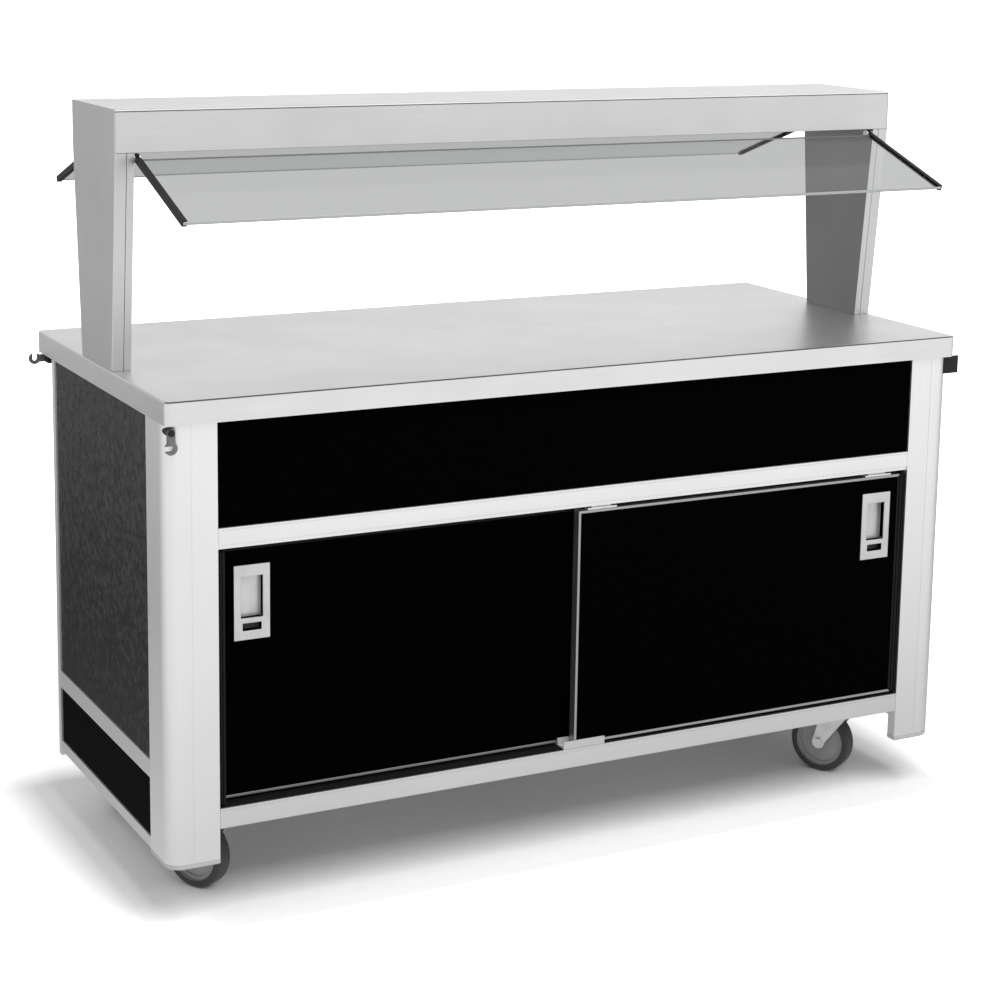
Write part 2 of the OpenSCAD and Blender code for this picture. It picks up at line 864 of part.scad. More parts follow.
module hook_mounts() color(black) {
    difference() {
        rod_y(hook_y + hook_t + seat, frame_y, -hook_x, hook_z, hook_half, mid);
        mirror([1, 0, 0]) post_clearance();
    }
    rod_y(hook_y - seat, frame_y + post_wall + hook_nut_t, -hook_x, hook_z, hook_pin_r, mid);
    rod_y(hook_y - seat - hook_head_t, hook_y - seat, -hook_x, hook_z, hook_head_r, hex);
    rod_y(frame_y + post_wall, frame_y + post_wall + hook_nut_t, -hook_x, hook_z,
        hook_nut_r, hex);
    block(-hook_back_x - hook_half, hook_bracket_w - hook_back_x,
        hook_back_y - hook_bracket_d, hook_back_y - seat, hook_z - hook_half, body_top);
    rod_y(hook_back_y - hook_bracket_d, hook_back_y + hook_t + seat, -hook_back_x, hook_z,
        hook_pin_r, mid);
    rod_y(hook_back_y + hook_t + seat, hook_back_y + hook_t + seat + hook_head_t,
        -hook_back_x, hook_z, hook_head_r, hex);
}

module catch_block(x0, y0) difference() {
    block(x0, end_x + catch_reach, y0, y0 + catch_w, catch_z, catch_z + catch_h);
    block(end_x + catch_cheek, end_x + catch_reach + cut, y0 + catch_cheek,
        y0 + catch_w - catch_cheek, catch_z - cut, catch_z + catch_h + cut);
}

module catch_pin(y0) {
    rod_y(y0 + catch_cheek - cut, y0 + catch_w - catch_cheek + cut,
        end_x + catch_reach - catch_pin_r - catch_cheek, catch_z + catch_h / 2, catch_pin_r, mid);
}

module catch_plates() color(black) {
    difference() {
        catch_block(end_x - post_r / 2, catch_front_y);
        post_clearance();
    }
    catch_pin(catch_front_y);
    catch_block(end_x, catch_back_y);
    catch_pin(catch_back_y);
    block(end_x - catch_strap_l, end_x + cut, catch_back_y, catch_back_y + catch_w,
        body_top - catch_strap_t, body_top);
}

// Casters: drawn with the swivel at the origin, the wheel trailing along +X

module caster_at(x, y, turn) translate([x, y, 0]) rotate([0, 0, turn]) children();

module caster_mount(x, y) translate([x, y, 0]) {
    difference() {
        block(-caster_plate_l / 2, caster_plate_l / 2, -caster_plate_w / 2,
            caster_plate_w / 2, caster_h - caster_plate_t, caster_h);
        for (sx = [-1, 1], sy = [-1, 1]) {
            rod_z(caster_h - caster_plate_t - cut, caster_h + cut, sx * caster_bolt_x,
                sy * caster_bolt_y, caster_bolt_r + seat, small);
        }
    }
    rod_z(crown_z + crown_t - kingpin_grip, caster_h - caster_plate_t, 0, 0, kingpin_r, mid);
    rod_z(crown_z + crown_t - kingpin_drop, crown_z - seat, 0, 0, kingpin_head_r, hex);
    for (sx = [-1, 1], sy = [-1, 1]) translate([sx * caster_bolt_x, sy * caster_bolt_y, 0]) {
        rod_z(caster_h - caster_plate_t - seat - caster_head_h,
            caster_h - caster_plate_t - seat, 0, 0, caster_head_r, hex);
        rod_z(caster_h - caster_plate_t - seat, caster_h + caster_pad_t + seat + caster_nut_h,
            0, 0, caster_bolt_r, small);
        rod_z(caster_h + caster_pad_t + seat, caster_h + caster_pad_t + seat + caster_nut_h,
            0, 0, caster_head_r, hex);
    }
}

module caster_plates() color(grey) {
    for (sx = [-1, 1]) {
        caster_mount(sx * caster_x, caster_front_y);
        caster_mount(sx * caster_x, caster_back_y);
    }
}

fork_top_half = 28;
axle_boss_r = 13;
fork_flare = 6;
fork_front_drop = 14;
fork_back_drop = 8;

module fork_leg(y0) translate([0, y0 + fork_t, 0]) rotate([90, 0, 0])
    linear_extrude(fork_t) difference() {
        union() {
            polygon([
                [-fork_top_half, crown_z + crown_t], [fork_top_half, crown_z + crown_t],
                [fork_top_half + fork_flare, crown_z - fork_front_drop],
                [caster_offset + axle_boss_r, wheel_r],
                [caster_offset - axle_boss_r, wheel_r], [-fork_top_half, crown_z - fork_back_drop]
            ]);
            translate([caster_offset, wheel_r]) circle(axle_boss_r, $fn = mid);
        }
        translate([caster_offset, wheel_r]) circle(axle_r + seat, $fn = mid);
    }

module caster_fork(braked) {
    color(grey) difference() {
        union() {
            fork_leg(fork_half);
            fork_leg(-fork_out);
            block(-fork_top_half, fork_top_half, -fork_out, fork_out,
                crown_z, crown_z + crown_t);
            rod_z(crown_z, caster_h - caster_plate_t - 1, 0, 0, race_r, fine);
        }
        rod_z(crown_z - cut, caster_h, 0, 0, kingpin_r + run_fit, mid);
    }
    color(steel) {
        rod_y(-fork_out - seat - cut, fork_out + seat + cut, caster_offset, wheel_r,
            axle_r, mid);
        rod_y(-fork_out - seat - axle_head_h, -fork_out - seat, caster_offset, wheel_r,
            axle_head_r, hex);
        rod_y(fork_out + seat, fork_out + seat + axle_head_h, caster_offset, wheel_r,
            axle_head_r, hex);
    }
    if (braked) color(steel) {
        rod_y(-fork_half, fork_half, pedal_u, pedal_z, pedal_pin_r, small);
    }
}

hub_face = 1.5;
hub_in = 6;
hub_boss_r = 15;

module caster_wheel() translate([caster_offset, 0, wheel_r]) rotate([90, 0, 0]) {
    color(grey) difference() {
        union() {
            cylinder(h = wheel_w - 2 * hub_in, r = wheel_hub_r, center = true, $fn = fine);
            cylinder(h = 2 * fork_half - 2 * hub_face, r = hub_boss_r, center = true,
                $fn = mid);
        }
        cylinder(h = 2 * wheel_w, r = axle_r + run_fit, center = true, $fn = mid);
    }
    color(rubber) difference() {
        cylinder(h = wheel_w, r = wheel_r, center = true, $fn = fine);
        cylinder(h = wheel_w + cut, r = wheel_hub_r + seat, center = true, $fn = fine);
    }
}

pedal_reach = 66;
pedal_t = 3;
pedal_half = 24;
pedal_pad_l = 26;
pedal_sleeve_r = 5;

module caster_pedal() color(black) translate([pedal_u, 0, pedal_z]) difference() {
    union() {
        rod_y(seat - fork_half, fork_half - seat, 0, 0, pedal_sleeve_r, mid);
        block(0, pedal_reach, 2 * seat - fork_half, fork_half - 2 * seat, 0, pedal_t);
        block(pedal_reach - pedal_pad_l, pedal_reach, -pedal_half, pedal_half, 0, pedal_t);
    }
    rod_y(-fork_half - cut, fork_half + cut, 0, 0, pedal_pin_r + run_fit, mid);
}

module caster_fork_front_left() {
    caster_at(-caster_x, caster_front_y, caster_turn) caster_fork(false);
}
module caster_fork_front_right() {
    caster_at(caster_x, caster_front_y, caster_turn) caster_fork(false);
}
module caster_fork_back_left() {
    caster_at(-caster_x, caster_back_y, caster_turn) caster_fork(true);
}
module caster_fork_back_right() {
    caster_at(caster_x, caster_back_y, caster_turn) caster_fork(true);
}
module caster_wheel_front_left() {
    caster_at(-caster_x, caster_front_y, caster_turn) caster_wheel();
}
module caster_wheel_front_right() {
    caster_at(caster_x, caster_front_y, caster_turn) caster_wheel();
}
module caster_wheel_back_left() {
    caster_at(-caster_x, caster_back_y, caster_turn) caster_wheel();
}
module caster_wheel_back_right() {
    caster_at(caster_x, caster_back_y, caster_turn) caster_wheel();
}
module caster_pedal_left() caster_at(-caster_x, caster_back_y, caster_turn) caster_pedal();
module caster_pedal_right() caster_at(caster_x, caster_back_y, caster_turn) caster_pedal();

countertop();
counter_core();
counter_channels();
upper_frame();
base_frame();
front_post_left();
front_post_right();
back_posts();
post_caps();
mid_rail_front();
bottom_rail_front();
upper_panel_front();
end_panel_left();
end_panel_right();
skirt_panels();
end_rails();
back_panels();
back_rails();
storage_floor();
storage_divider();
storage_shelves();
shelf_standards();
door_track();
door_guide();
door_bumpers();
door_left();
door_right();
door_left_trim();
door_right_trim();
door_left_pull();
door_right_pull();
door_left_hangers();
door_right_hangers();
canopy_frame();
column_left();
column_right();
column_cover_left();
column_cover_right();
header_shell();
header_lid();
guard_glass_front();
guard_glass_back();
guard_arms_front();
guard_arms_back();
guard_pivots();
hook_front();
hook_back();
hook_mounts();
catch_plates();
caster_plates();
caster_fork_front_left();
caster_fork_front_right();
caster_fork_back_left();
caster_fork_back_right();
caster_wheel_front_left();
caster_wheel_front_right();
caster_wheel_back_left();
caster_wheel_back_right();
caster_pedal_left();
caster_pedal_right();
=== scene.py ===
import json
import math

import bmesh
import bpy
from mathutils import Matrix, Vector


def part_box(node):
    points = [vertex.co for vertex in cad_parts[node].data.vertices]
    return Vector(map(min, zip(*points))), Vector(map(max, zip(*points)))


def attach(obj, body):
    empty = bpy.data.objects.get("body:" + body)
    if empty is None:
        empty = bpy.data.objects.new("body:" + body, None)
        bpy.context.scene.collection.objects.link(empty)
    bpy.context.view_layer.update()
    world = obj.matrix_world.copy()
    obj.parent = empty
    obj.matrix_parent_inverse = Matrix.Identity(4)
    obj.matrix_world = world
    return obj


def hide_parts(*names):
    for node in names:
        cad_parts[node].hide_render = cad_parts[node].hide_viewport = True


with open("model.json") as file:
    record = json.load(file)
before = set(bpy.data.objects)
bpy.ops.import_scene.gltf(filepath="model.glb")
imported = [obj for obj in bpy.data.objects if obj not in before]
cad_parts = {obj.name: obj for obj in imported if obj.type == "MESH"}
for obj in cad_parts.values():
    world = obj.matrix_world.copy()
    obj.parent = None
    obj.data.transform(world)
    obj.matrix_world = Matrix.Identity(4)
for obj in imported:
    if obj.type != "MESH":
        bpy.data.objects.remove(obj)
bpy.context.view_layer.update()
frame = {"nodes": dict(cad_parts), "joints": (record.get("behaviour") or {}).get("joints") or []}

# Worktop
# The worktop is one sheet of satin stainless steel with its four edges turned
# down over a board core. Its corners are welded and ground round. The faces
# along the front fold are painted dark: a painted shade line.


def let_go():
    if bpy.context.object and bpy.context.object.mode != "OBJECT":
        bpy.ops.object.mode_set(mode="OBJECT")
    bpy.ops.object.select_all(action="DESELECT")


def take(piece):
    let_go()
    piece.hide_set(False)
    piece.select_set(True)
    bpy.context.view_layer.objects.active = piece


def settle(piece, name):
    piece.name = name
    piece.data.name = name
    bpy.ops.object.transform_apply(location=True, rotation=True, scale=True)
    return piece


def rough_block(name, x, y, z):
    """A plain block between two places on each axis, to be worked on."""
    low = Vector((min(x), min(y), min(z)))
    high = Vector((max(x), max(y), max(z)))
    let_go()
    bpy.ops.mesh.primitive_cube_add(size=1, location=(low + high) / 2, scale=high - low)
    return settle(bpy.context.active_object, name)


def pick(piece, kind, wanted):
    """Goes into edit mode with the faces or edges selected that wanted() accepts."""
    take(piece)
    bpy.ops.object.mode_set(mode="EDIT")
    bpy.ops.mesh.select_mode(type=kind)
    bpy.ops.mesh.select_all(action="DESELECT")
    form = bmesh.from_edit_mesh(piece.data)
    parts = form.faces if kind == "FACE" else form.edges
    for part in parts:
        if wanted(part):
            part.select_set(True)
    form.select_flush_mode()
    bmesh.update_edit_mesh(piece.data)


def down():
    bpy.ops.object.mode_set(mode="OBJECT")


def shove(x, y, z):
    """Extrudes the picked faces by a distance and leaves edit mode."""
    bpy.ops.mesh.extrude_region_move(TRANSFORM_OT_translate={"value": (x, y, z)})
    down()


square_on = 0.9


def looks(face, x=0, y=0, z=0):
    """Whether the face points the given way."""
    return face.normal.dot(Vector((x, y, z))) > square_on


def upright(edge):
    run = edge.verts[1].co - edge.verts[0].co
    return abs(run.z) > square_on * run.length


sharp = math.radians(35)


def smooth(piece):
    """Shades the rounded edges smoothly and keeps the broad faces flat."""
    take(piece)
    bpy.ops.object.shade_smooth_by_angle(angle=sharp)
    flat = piece.modifiers.new("flat faces", "WEIGHTED_NORMAL")
    flat.keep_sharp = True
    bpy.ops.object.modifier_apply(modifier=flat.name)


def fit(piece, body, slot, finish, *nodes):
    """The piece moves with the body, wears the finish and stands for the CAD nodes."""
    let_go()
    piece.data.materials.clear()
    piece.data.materials.append(finish)
    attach(piece, body)
    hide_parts(*nodes)
    return piece


def refinish(piece, finish, wanted):
    """Gives a second finish to the faces that wanted() accepts."""
    piece.data.materials.append(finish)
    for face in piece.data.polygons:
        if wanted(face):
            face.material_index = 1


class Wiring:
    """A tree of shader nodes, with short ways to add nodes and to join them."""

    def __init__(self, tree):
        self.tree = tree

    def node(self, kind, **inputs):
        made = self.tree.nodes.new("ShaderNode" + kind)
        for key, value in inputs.items():
            made.inputs[key.replace("_", " ")].default_value = value
        return made

    def join(self, out, into):
        self.tree.links.new(out, into)

    def reckon(self, kind, operation, *values):
        """One step of arithmetic on plain numbers, vectors or what other nodes give."""
        made = self.node(kind)
        made.operation = operation
        for socket, value in zip(made.inputs, values):
            if isinstance(value, bpy.types.NodeSocket):
                self.join(value, socket)
            else:
                socket.default_value = value
        return made.outputs["Value" if operation in ("LENGTH", "DOT_PRODUCT") else 0]

    def height(self, place):
        """How high a place lies, or how far up a direction points."""
        axes = self.node("SeparateXYZ")
        self.join(place, axes.inputs[0])
        return axes.outputs["Z"]

    def between(self, value, low, high, start=0.3, end=0.7):
        """From low to high as the value goes from start to end."""
        band = self.node("MapRange", From_Min=start, From_Max=end, To_Min=low, To_Max=high)
        self.join(value, band.inputs["Value"])
        return band.outputs["Result"]

    def mix(self, share, one, other):
        """The one look where the share is 0, and the other where it is 1."""
        blend = self.node("MixShader")
        for socket, out in zip(blend.inputs, (share, one, other)):
            self.join(out, socket)
        return blend.outputs[0]


class Finish(Wiring):
    """A material with its shader, its object coordinates and short ways to add detail."""

    def __init__(self, name, colour, rough, metal=0.0):
        self.mat = bpy.data.materials.new(name)
        self.mat.use_nodes = True
        super().__init__(self.mat.node_tree)
        self.shader = self.tree.nodes["Principled BSDF"]
        self.place = self.node("TexCoord").outputs["Object"]
        self.shader.inputs["Base Color"].default_value = (*colour, 1)
        self.shader.inputs["Roughness"].default_value = rough
        self.shader.inputs["Metallic"].default_value = metal

    def noise(self, scale, detail=3.0, stretch=(1, 1, 1)):
        turn = self.node("Mapping", Scale=stretch)
        self.join(self.place, turn.inputs["Vector"])
        cloud = self.node("TexNoise", Scale=scale, Detail=detail)
        self.join(turn.outputs["Vector"], cloud.inputs["Vector"])
        return cloud.outputs["Fac"]

    def shades(self, value, dark, light, start=0.3, end=0.7):
        """The colour, from dark to light as the value goes from start to end."""
        ramp = self.node("ValToRGB")
        ramp.color_ramp.elements[0].position = start
        ramp.color_ramp.elements[0].color = (*dark, 1)
        ramp.color_ramp.elements[1].position = end
        ramp.color_ramp.elements[1].color = (*light, 1)
        self.join(value, ramp.inputs["Fac"])
        self.join(ramp.outputs["Color"], self.shader.inputs["Base Color"])

    def roughness(self, value):
        self.join(value, self.shader.inputs["Roughness"])

    def relief(self, value, strength, distance):
        bump = self.node("Bump", Strength=strength, Distance=distance)
        self.join(value, bump.inputs["Height"])
        self.join(bump.outputs["Normal"], self.shader.inputs["Normal"])


def satin_steel(name, grey, stretch):
    """Stainless sheet, brushed along the direction that stretch leaves long."""
    steel = Finish(name, (grey, grey, grey), rough=0.36, metal=1.0)
    brush = steel.noise(1.0, detail=4.0, stretch=stretch)
    steel.roughness(steel.between(brush, low=0.30, high=0.42))
    steel.shades(steel.noise(7.0, detail=2.0), [grey * 0.96] * 3, [grey * 1.03] * 3)
    steel.relief(brush, strength=0.06, distance=0.0002)
    return steel.mat


worktop_steel = satin_steel("worktop steel", grey=0.81, stretch=(6, 900, 900))

low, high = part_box("countertop")
sheet = 0.002
corner = 0.012
arris = 0.0035
touch = 0.0001
worktop = rough_block("worktop_sheet", *zip(low, high))
pick(worktop, "EDGE", upright)
bpy.ops.mesh.bevel(offset=corner, segments=8, affect="EDGES")
pick(worktop, "FACE", lambda f: looks(f, z=-1))
bpy.ops.mesh.inset(thickness=sheet)
shove(0, 0, high.z - low.z - sheet)
pick(worktop, "EDGE", lambda e: min(v.co.z for v in e.verts) > high.z - touch)
bpy.ops.mesh.bevel(offset=arris, segments=4, affect="EDGES")
smooth(worktop)
fit(worktop, "cabinet", "stainless", worktop_steel, "countertop")
# The faces along the front fold wear dark steel: a painted shade line.
painted_shade_steel = satin_steel("steel with painted edge shade", grey=0.16, stretch=(6, 900, 900))
fold_turn = 0.3
refinish(worktop, painted_shade_steel, lambda f: f.normal.y < -fold_turn and f.normal.z > fold_turn)

# Core and channels
# Under the sheet lie a board core and five steel channels that carry it on the
# cabinet's frame and out over the back. Channels and frames are painted grey.
weld = 0.00001
flat_turn = math.radians(0.5)


def ease(piece, width, steps=2):
    """Rounds every sharp edge a little, as a deburred or folded edge is."""
    take(piece)
    rim = piece.modifiers.new("eased edge", "BEVEL")
    rim.width = width
    rim.segments = steps
    rim.limit_method = "ANGLE"
    rim.angle_limit = sharp
    bpy.ops.object.modifier_apply(modifier=rim.name)
    smooth(piece)


def dressed(node, body, slot, finish, width=0.0006):
    """A merged copy of the CAD node's mesh with eased edges, which stands for the node."""
    piece = bpy.data.objects.new(node + "_piece", frame["nodes"][node].data.copy())
    bpy.context.scene.collection.objects.link(piece)
    take(piece)
    bpy.ops.object.mode_set(mode="EDIT")
    bpy.ops.mesh.select_all(action="SELECT")
    bpy.ops.mesh.remove_doubles(threshold=weld)
    bpy.ops.mesh.dissolve_limited(angle_limit=flat_turn)
    down()
    ease(piece, width)
    return fit(piece, body, slot, finish, node)


board = Finish("plain board", (0.5, 0.495, 0.485), rough=0.6)
board_grain = board.noise(1.0, detail=5.0, stretch=(4, 60, 60))
board.shades(board_grain, (0.42, 0.415, 0.405), (0.56, 0.555, 0.545))
board.relief(board_grain, strength=0.15, distance=0.0004)
dressed("counter_core", "cabinet", "board", board.mat)

frame_paint = Finish("grey frame paint", (0.32, 0.33, 0.34), rough=0.45, metal=0.3)
frame_paint.relief(frame_paint.noise(260.0, detail=2.0), strength=0.2, distance=0.0003)
frame_paint.roughness(frame_paint.between(frame_paint.noise(14.0), low=0.38, high=0.55))
for node in ("counter_channels", "upper_frame", "base_frame", "canopy_frame"):
    dressed(node, "cabinet", "frame_steel", frame_paint.mat, width=0.001)

# Front posts
# Each front post is one anodised aluminium extrusion round the corner: a wide
# leg on the front, a short one on the end and a bull nose between them. A fine
# die line runs down the front leg.


def drawn_alloy(name, grey, stretch):
    """Anodised aluminium, drawn along the direction that stretch leaves long."""
    alloy = Finish(name, (grey, grey, grey), rough=0.42, metal=0.92)
    lines = alloy.noise(1.0, detail=4.0, stretch=stretch)
    alloy.roughness(alloy.between(lines, low=0.36, high=0.48))
    alloy.shades(alloy.noise(5.0, detail=2.0), [grey * 0.97] * 3, [grey] * 3)
    alloy.relief(lines, strength=0.05, distance=0.0002)
    return alloy.mat


def centre(face):
    return face.calc_center_median()


def edge_mid(edge):
    return (edge.verts[0].co + edge.verts[1].co) / 2


def cut_at(piece, axis, *places):
    """Cuts the whole piece through at places along an axis, without parting it."""
    normal = [float(axis == name) for name in "xyz"]
    for place in places:
        take(piece)
        bpy.ops.object.mode_set(mode="EDIT")
        bpy.ops.mesh.select_all(action="SELECT")
        bpy.ops.mesh.bisect(plane_co=[place * n for n in normal], plane_no=normal)
        down()


def corner_bar(name, side, z):
    """The post's section: two legs round the front corner and the bull nose between them."""
    inner, outer = (side * c for c in (post_low.x, post_high.x))
    bar = rough_block(name, (inner, outer), (post_low.y, wall_y), z)
    cut_at(bar, "x", side * wall_x)
    pick(bar, "FACE", lambda f: looks(f, y=1) and side * centre(f).x > wall_x)
    shove(0, post_high.y - wall_y, 0)
    take(bar)
    bpy.ops.object.mode_set(mode="EDIT")
    bpy.ops.mesh.select_all(action="SELECT")
    bpy.ops.mesh.dissolve_limited(angle_limit=flat_turn)
    down()
    nose_line = Vector((outer, post_low.y))
    pick(bar, "EDGE", lambda e: upright(e) and (edge_mid(e).xy - nose_line).length < touch)
    bpy.ops.mesh.bevel(offset=nose, segments=16, affect="EDGES")
    down()
    return bar


alloy_upright = drawn_alloy("alloy drawn upright", grey=0.92, stretch=(500, 500, 2))

both_sides = ((-1, "left"), (1, "right"))
post_low, post_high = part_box("front_post_right")
wall_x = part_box("base_frame")[1].x
wall_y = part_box("base_frame")[0].y
nose = 0.030
line_in = 0.046
line_w = 0.0012
line_deep = 0.0007
for side, name in both_sides:
    post = corner_bar("post_" + name, side, (post_low.z, post_high.z))
    ease(post, width=0.0008)
    line = [side * (post_low.x + line_in + step) for step in (0, line_w)]
    cut_at(post, "x", *line)
    pick(post, "FACE", lambda f: looks(f, y=-1) and min(line) < centre(f).x < max(line))
    shove(0, line_deep, 0)
    smooth(post)
    fit(post, "cabinet", "aluminium", alloy_upright, "front_post_" + name)

# Post caps
# Under each front post sits a moulded end cap of the same section, pushed
# into the post's hollow, in a grey near that of the post.
grey_plastic = Finish("grey plastic", (0.42, 0.42, 0.42), rough=0.5)
grey_plastic.relief(grey_plastic.noise(700.0, detail=2.0), strength=0.2, distance=0.0002)

cap_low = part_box("post_caps")[0].z
cap_round = 0.0045
for side, name in both_sides:
    cap = corner_bar("post_cap_" + name, side, (cap_low, post_low.z))
    pick(cap, "EDGE", lambda e: max(v.co.z for v in e.verts) < cap_low + touch)
    bpy.ops.mesh.bevel(offset=cap_round, segments=4, affect="EDGES")
    smooth(cap)
    fit(cap, "cabinet", "plastic", grey_plastic.mat, "post_caps")

# Back posts and rails
# The back has flat aluminium corner strips with a steel core behind them, a rail
# across the middle and one along the foot. Each end has a belt rail and a sill.
alloy_level = drawn_alloy("alloy drawn level", grey=0.92, stretch=(2, 500, 500))
alloy_deep = drawn_alloy("alloy drawn front to back", grey=0.82, stretch=(500, 2, 500))

dressed("back_posts", "cabinet", "aluminium", alloy_upright, width=0.001)
dressed("back_rails", "cabinet", "aluminium", alloy_level, width=0.001)
dressed("end_rails", "cabinet", "aluminium", alloy_deep, width=0.0012)

# Front rails
# The mid rail covers the door track with a thin front web under a flange.
# The bottom rail is a hollow bar, and each has a fine die line near its top edge.


def score(piece, z, width=0.0012, deep=0.0006):
    """A fine groove along the front face at the height z."""
    cut_at(piece, "z", z, z + width)
    pick(piece, "FACE", lambda f: looks(f, y=-1) and z < centre(f).z < z + width)
    shove(0, deep, 0)
    smooth(piece)


low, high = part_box("mid_rail_front")
web = 0.003
mid_line_drop = 0.005
mid_rail = rough_block("mid_rail", (low.x, high.x), (low.y, low.y + web), (low.z, high.z))
cut_at(mid_rail, "z", high.z - web)
pick(mid_rail, "FACE", lambda f: looks(f, y=1) and centre(f).z > high.z - web)
shove(0, high.y - low.y - web, 0)
ease(mid_rail, width=0.0008)
score(mid_rail, high.z - mid_line_drop)
fit(mid_rail, "cabinet", "aluminium", alloy_level, "mid_rail_front")

alloy_low = drawn_alloy("alloy of the bottom rail", grey=0.80, stretch=(2, 500, 500))
low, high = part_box("bottom_rail_front")
low_line_drop = 0.006
bottom_rail = rough_block("bottom_rail", *zip(low, high))
ease(bottom_rail, width=0.0012)
score(bottom_rail, high.z - low_line_drop)
fit(bottom_rail, "cabinet", "aluminium", alloy_low, "bottom_rail_front")

# Panels
# The panels are board faced with black laminate. It is smooth on the front, the
# back and the skirts, and leathery and mottled on the two ends, where it is painted
# paler upwards: a painted reflection.
black_laminate = Finish("black laminate", (0.0004, 0.0004, 0.0004), rough=0.42)
black_laminate.shader.inputs["IOR"].default_value = 1.05
black_laminate.roughness(black_laminate.between(black_laminate.noise(300.0), low=0.42, high=0.48))
black_laminate.relief(black_laminate.noise(900.0, detail=2.0), strength=0.1, distance=0.0002)

pebbled = Finish("pebbled laminate", (0.02, 0.02, 0.021), rough=0.5)
pebbled.shader.inputs["Specular IOR Level"].default_value = 0.25
pebbled.relief(pebbled.noise(170.0, detail=3.0), strength=0.9, distance=0.0014)
# The ends are painted darker low and paler high, a painted reflection, mixed with a random mottle.
mottle_share = 1.8
mottle_and_painted_sheen = pebbled.reckon("Math", "MULTIPLY_ADD", pebbled.noise(80.0, detail=2.0), mottle_share,
                        pebbled.height(pebbled.place))
painted_sheen_and_mottle = pebbled.between(mottle_and_painted_sheen, low=0.0, high=1.0, start=1.2, end=1.95)
pebbled.shades(painted_sheen_and_mottle, (0.0008, 0.0008, 0.001), (0.043, 0.043, 0.044), start=0.0, end=1.0)

for node in ("upper_panel_front", "back_panels", "skirt_panels"):
    dressed(node, "cabinet", "laminate", black_laminate.mat)
for node in ("end_panel_left", "end_panel_right"):
    dressed(node, "cabinet", "laminate", pebbled.mat)

# Storage
# Inside are plain boards: a floor, a divider and two shelves on metal
# standards. They show when a door is open.
dressed("storage_floor", "cabinet", "board", board.mat, width=0.0008)
dressed("storage_divider", "cabinet", "board", board.mat, width=0.0008)
dressed("storage_shelves", "cabinet", "board", board.mat, width=0.0008)
dressed("shelf_standards", "cabinet", "aluminium", alloy_upright, width=0.0004)

# Door track, guide and bumpers
# The doors hang from a double track behind the mid rail. A black strip lines
# the sill, with a finned guide of pale nylon at its middle, and a grooved rubber
# bumper stands at each side of the opening, partly behind the post.
dressed("door_track", "cabinet", "aluminium", alloy_level, width=0.0003)

# Black plastic for the sill strip. The same finish paints shade on the door frames.
black_plastic_and_painted_shade = Finish("black plastic and painted shade", (0.006, 0.006, 0.0065), rough=0.5)
black_plastic_and_painted_shade.shader.inputs["Specular IOR Level"].default_value = 0.12
black_plastic_and_painted_shade.relief(black_plastic_and_painted_shade.noise(700.0, detail=2.0), strength=0.2, distance=0.0002)

nylon = Finish("pale nylon", (0.42, 0.42, 0.415), rough=0.45)
nylon.relief(nylon.noise(400.0, detail=2.0), strength=0.15, distance=0.0002)
guide = dressed("door_guide", "cabinet", "plastic", black_plastic_and_painted_shade.mat, width=0.0005)
strip_t = 0.0021
guide_half = 0.0435
strip_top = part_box("door_guide")[0].z + strip_t
refinish(guide, nylon.mat, lambda f: abs(f.center.x) < guide_half and f.center.z > strip_top)

rubber = Finish("black rubber", (0.008, 0.008, 0.008), rough=0.62)
rubber.shader.inputs["Specular IOR Level"].default_value = 0.15
rubber.relief(rubber.noise(500.0, detail=2.0), strength=0.25, distance=0.0002)

low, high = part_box("door_bumpers")
bumper_w = 0.0125
bumper_lap = 0.014
flute_w = 0.0025
flute_at = (0.3, 0.65)
outer = high.x - bumper_lap
for side, name in both_sides:
    bumper = rough_block("bumper_" + name, (side * (outer - bumper_w), side * outer),
                         (low.y, high.y), (low.z, high.z))
    ease(bumper, width=0.0012)
    for part in flute_at:
        flute = [side * (outer - bumper_w * part + step) for step in (0, flute_w)]
        cut_at(bumper, "x", *flute)
        pick(bumper, "FACE", lambda f: looks(f, y=-1) and min(flute) < centre(f).x < max(flute))
        shove(0, flute_w, 0)
    smooth(bumper)
    fit(bumper, "cabinet", "rubber", rubber.mat, "door_bumpers")

# Doors
# Each sliding door is a laminated board in a thin aluminium frame round all four
# edges. The frame is painted black beside the posts and along the left door's top
# under the rail: painted shade. The board is sunk where the pull goes in.


def sink(piece, x, z, deep):
    """Pushes in the part of the front that lies between two places in x and in z."""
    cut_at(piece, "x", *x)
    cut_at(piece, "z", *z)
    pick(piece, "FACE", lambda f: looks(f, y=-1) and min(x) < centre(f).x < max(x)
         and min(z) < centre(f).z < max(z))
    shove(0, deep, 0)


pocket_w, pocket_h, pocket_drop = 0.040, 0.073, 0.020
latch_w, latch_h, latch_drop = 0.034, 0.013, 0.102


def pull_openings(name):
    """The pocket and the latch slot of a door's pull, as places in x and in z."""
    low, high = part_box("door_" + name + "_pull")
    mid = (low.x + high.x) / 2
    pocket = ((mid - pocket_w / 2, mid + pocket_w / 2),
              (high.z - pocket_drop - pocket_h, high.z - pocket_drop))
    latch = ((mid - latch_w / 2, mid + latch_w / 2),
             (high.z - latch_drop - latch_h, high.z - latch_drop))
    return pocket, latch


